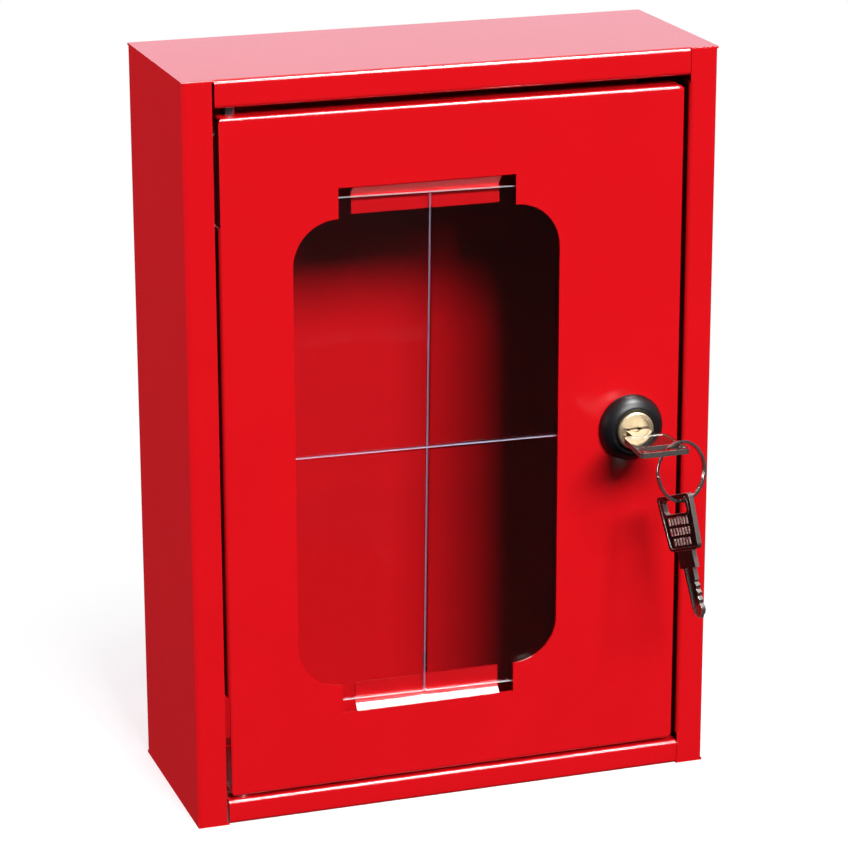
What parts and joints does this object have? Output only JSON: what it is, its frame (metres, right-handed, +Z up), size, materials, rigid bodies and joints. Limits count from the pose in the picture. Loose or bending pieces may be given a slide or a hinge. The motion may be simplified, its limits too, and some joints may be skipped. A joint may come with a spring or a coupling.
{
  "type": "break glass valve box",
  "caption": "Red sheet-steel wall box with a scored clear pane in its hinged door, a cam lock, a key in the lock and a spare key on a split ring.",
  "frame": {"origin": "centre of the rear face, midway between the four wall fixings", "axes": "+X to the right seen from the front, +Y backwards into the wall, +Z up"},
  "size_m": [0.24, 0.1451, 0.334],
  "materials": {
    "red_paint": "gloss powder coat",
    "zinc_steel": "zinc plated",
    "lock_brass": "turned",
    "nickel": "bright nickel plate",
    "black_plastic": "satin",
    "clear_pane": "clear, scored"
  },
  "bodies": {
    "case": {"case_wrap": "red_paint", "top_panel": "red_paint", "bottom_panel": "red_paint", "upper_hinge_pin": "zinc_steel", "lower_hinge_pin": "zinc_steel", "hinge_washer": "zinc_steel", "hinge_spacer": "zinc_steel"},
    "door": {"door_panel": "red_paint", "break_pane": "clear_pane", "lock_rosette": "black_plastic", "lock_barrel": "lock_brass", "lock_washer": "zinc_steel", "lock_nut": "zinc_steel"},
    "plug": {"lock_plug": "lock_brass", "lock_wafers": "lock_brass", "stop_washer": "zinc_steel", "lock_cam": "zinc_steel", "cam_washer": "zinc_steel", "cam_screw": "zinc_steel"},
    "key": {"door_key": "nickel"},
    "ring": {"key_ring": "nickel"},
    "spare": {"spare_key": "nickel"}
  },
  "joints": [
    {"name": "door_hinge", "type": "hinge", "parent": "case", "child": "door", "pos_m": [-0.0983, -0.0845, 0], "axis": [0, 0, -1], "range_deg": [0, 95]},
    {"name": "lock_turn", "type": "hinge", "parent": "door", "child": "plug", "pos_m": [0.08165, -0.092, -0.00175], "axis": [0, 1, 0], "range_deg": [0, 90]},
    {"name": "key_withdraw", "type": "slide", "parent": "plug", "child": "key", "axis": [0, -1, 0], "range_m": [0, 0.032]},
    {"name": "ring_swing", "type": "hinge", "parent": "key", "child": "ring", "pos_m": [0.09044, -0.12632, 0.00052], "axis": [0.9511, 0.309, 0], "range_deg": [-15, 15]},
    {"name": "spare_key_swing", "type": "hinge", "parent": "ring", "child": "spare", "pos_m": [0.09184, -0.13065, -0.02529], "axis": [0.9511, 0.309, 0], "range_deg": [-15, 30]}
  ]
}
